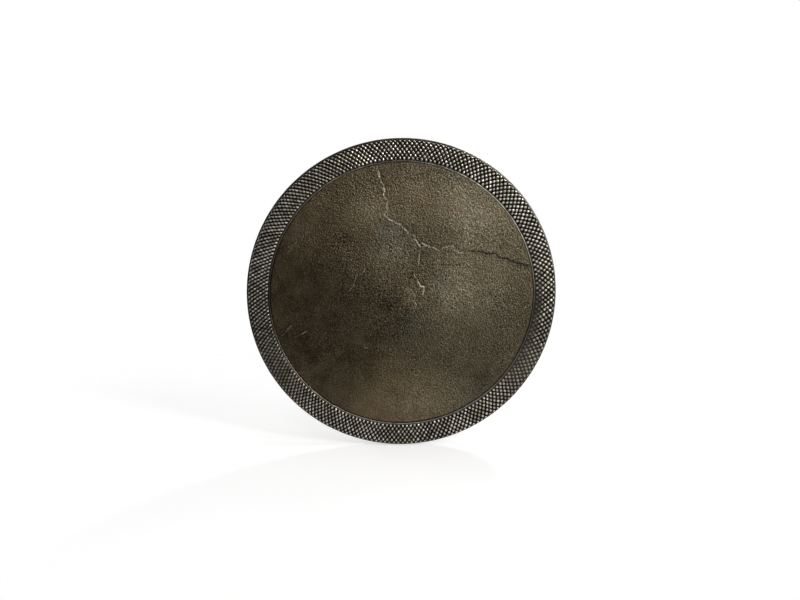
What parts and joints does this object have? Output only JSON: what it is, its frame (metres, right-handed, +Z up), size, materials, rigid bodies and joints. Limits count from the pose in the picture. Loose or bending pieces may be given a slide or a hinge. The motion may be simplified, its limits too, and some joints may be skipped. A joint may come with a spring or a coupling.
{
  "type": "tam tam gong",
  "caption": "Round bronze gong with a shallow centre boss, a wide knurled rim band, a turned-back flange and a cord on swinging rings to hang it.",
  "frame": {"origin": "the middle of the part's bounding box: on the gong's axis, midway between the front of the boss and the back of the cord, 21.1 mm behind the front of the flat face", "axes": "+Z up, +X to the right seen from the front, +Y towards the back; the face looks along -Y"},
  "size_m": [0.4, 0.0472, 0.4],
  "materials": {
    "plate_bronze": "dark olive-brown patina on cast-looking bronze sheet, satin",
    "band_bronze": "knurled bronze, near-black valleys and worn bright tips",
    "bead_bronze": "worn bronze wire, semi-gloss",
    "hoop_bronze": "brown patina, rolled bar",
    "rivet_brass": "hammered brass, aged",
    "lug_brass": "cast brass, aged",
    "ring_steel": "polished steel wire",
    "cord_fibre": "braided dark cord",
    "whipping_thread": "waxed thread, tightly wound"
  },
  "bodies": {
    "gong": {"gong_plate": "plate_bronze", "rim_band": "band_bronze", "inner_bead": "bead_bronze", "edge_bead": "bead_bronze", "back_hoop": "hoop_bronze", "band_stud_01": "rivet_brass", "band_stud_02": "rivet_brass", "band_stud_03": "rivet_brass", "band_stud_04": "rivet_brass", "band_stud_05": "rivet_brass", "band_stud_06": "rivet_brass", "band_stud_07": "rivet_brass", "band_stud_08": "rivet_brass", "band_stud_09": "rivet_brass", "band_stud_10": "rivet_brass", "band_stud_11": "rivet_brass", "band_stud_12": "rivet_brass", "hoop_rivet_01": "rivet_brass", "hoop_rivet_02": "rivet_brass", "hoop_rivet_03": "rivet_brass", "hoop_rivet_04": "rivet_brass", "hoop_rivet_05": "rivet_brass", "hoop_rivet_06": "rivet_brass", "hoop_rivet_07": "rivet_brass", "hoop_rivet_08": "rivet_brass", "hanger_lug_left": "lug_brass", "hanger_lug_right": "lug_brass", "lug_rivet_left_1": "rivet_brass", "lug_rivet_left_2": "rivet_brass", "lug_rivet_right_1": "rivet_brass", "lug_rivet_right_2": "rivet_brass"},
    "ring_left": {"hanger_ring_left": "ring_steel"},
    "ring_right": {"hanger_ring_right": "ring_steel"},
    "cord": {"hanging_cord": "cord_fibre", "whipping_left": "whipping_thread", "whipping_right": "whipping_thread"}
  },
  "joints": [
    {"name": "ring_left_swing", "type": "hinge", "parent": "gong", "child": "ring_left", "pos_m": [-0.06873, 0.0157, 0.17012], "axis": [1, 0, 0], "range_deg": [-8, 180]},
    {"name": "ring_right_swing", "type": "hinge", "parent": "gong", "child": "ring_right", "pos_m": [0.06873, 0.0157, 0.17012], "axis": [1, 0, 0], "range_deg": [-8, 180]},
    {"name": "cord_swing", "type": "hinge", "parent": "ring_left", "child": "cord", "pos_m": [-0.06873, 0.0157, 0.14612], "axis": [1, 0, 0], "range_deg": [0, 50]}
  ],
  "couplings": [
    {"joint": "ring_right_swing", "follows": "ring_left_swing", "ratio": 1}
  ]
}
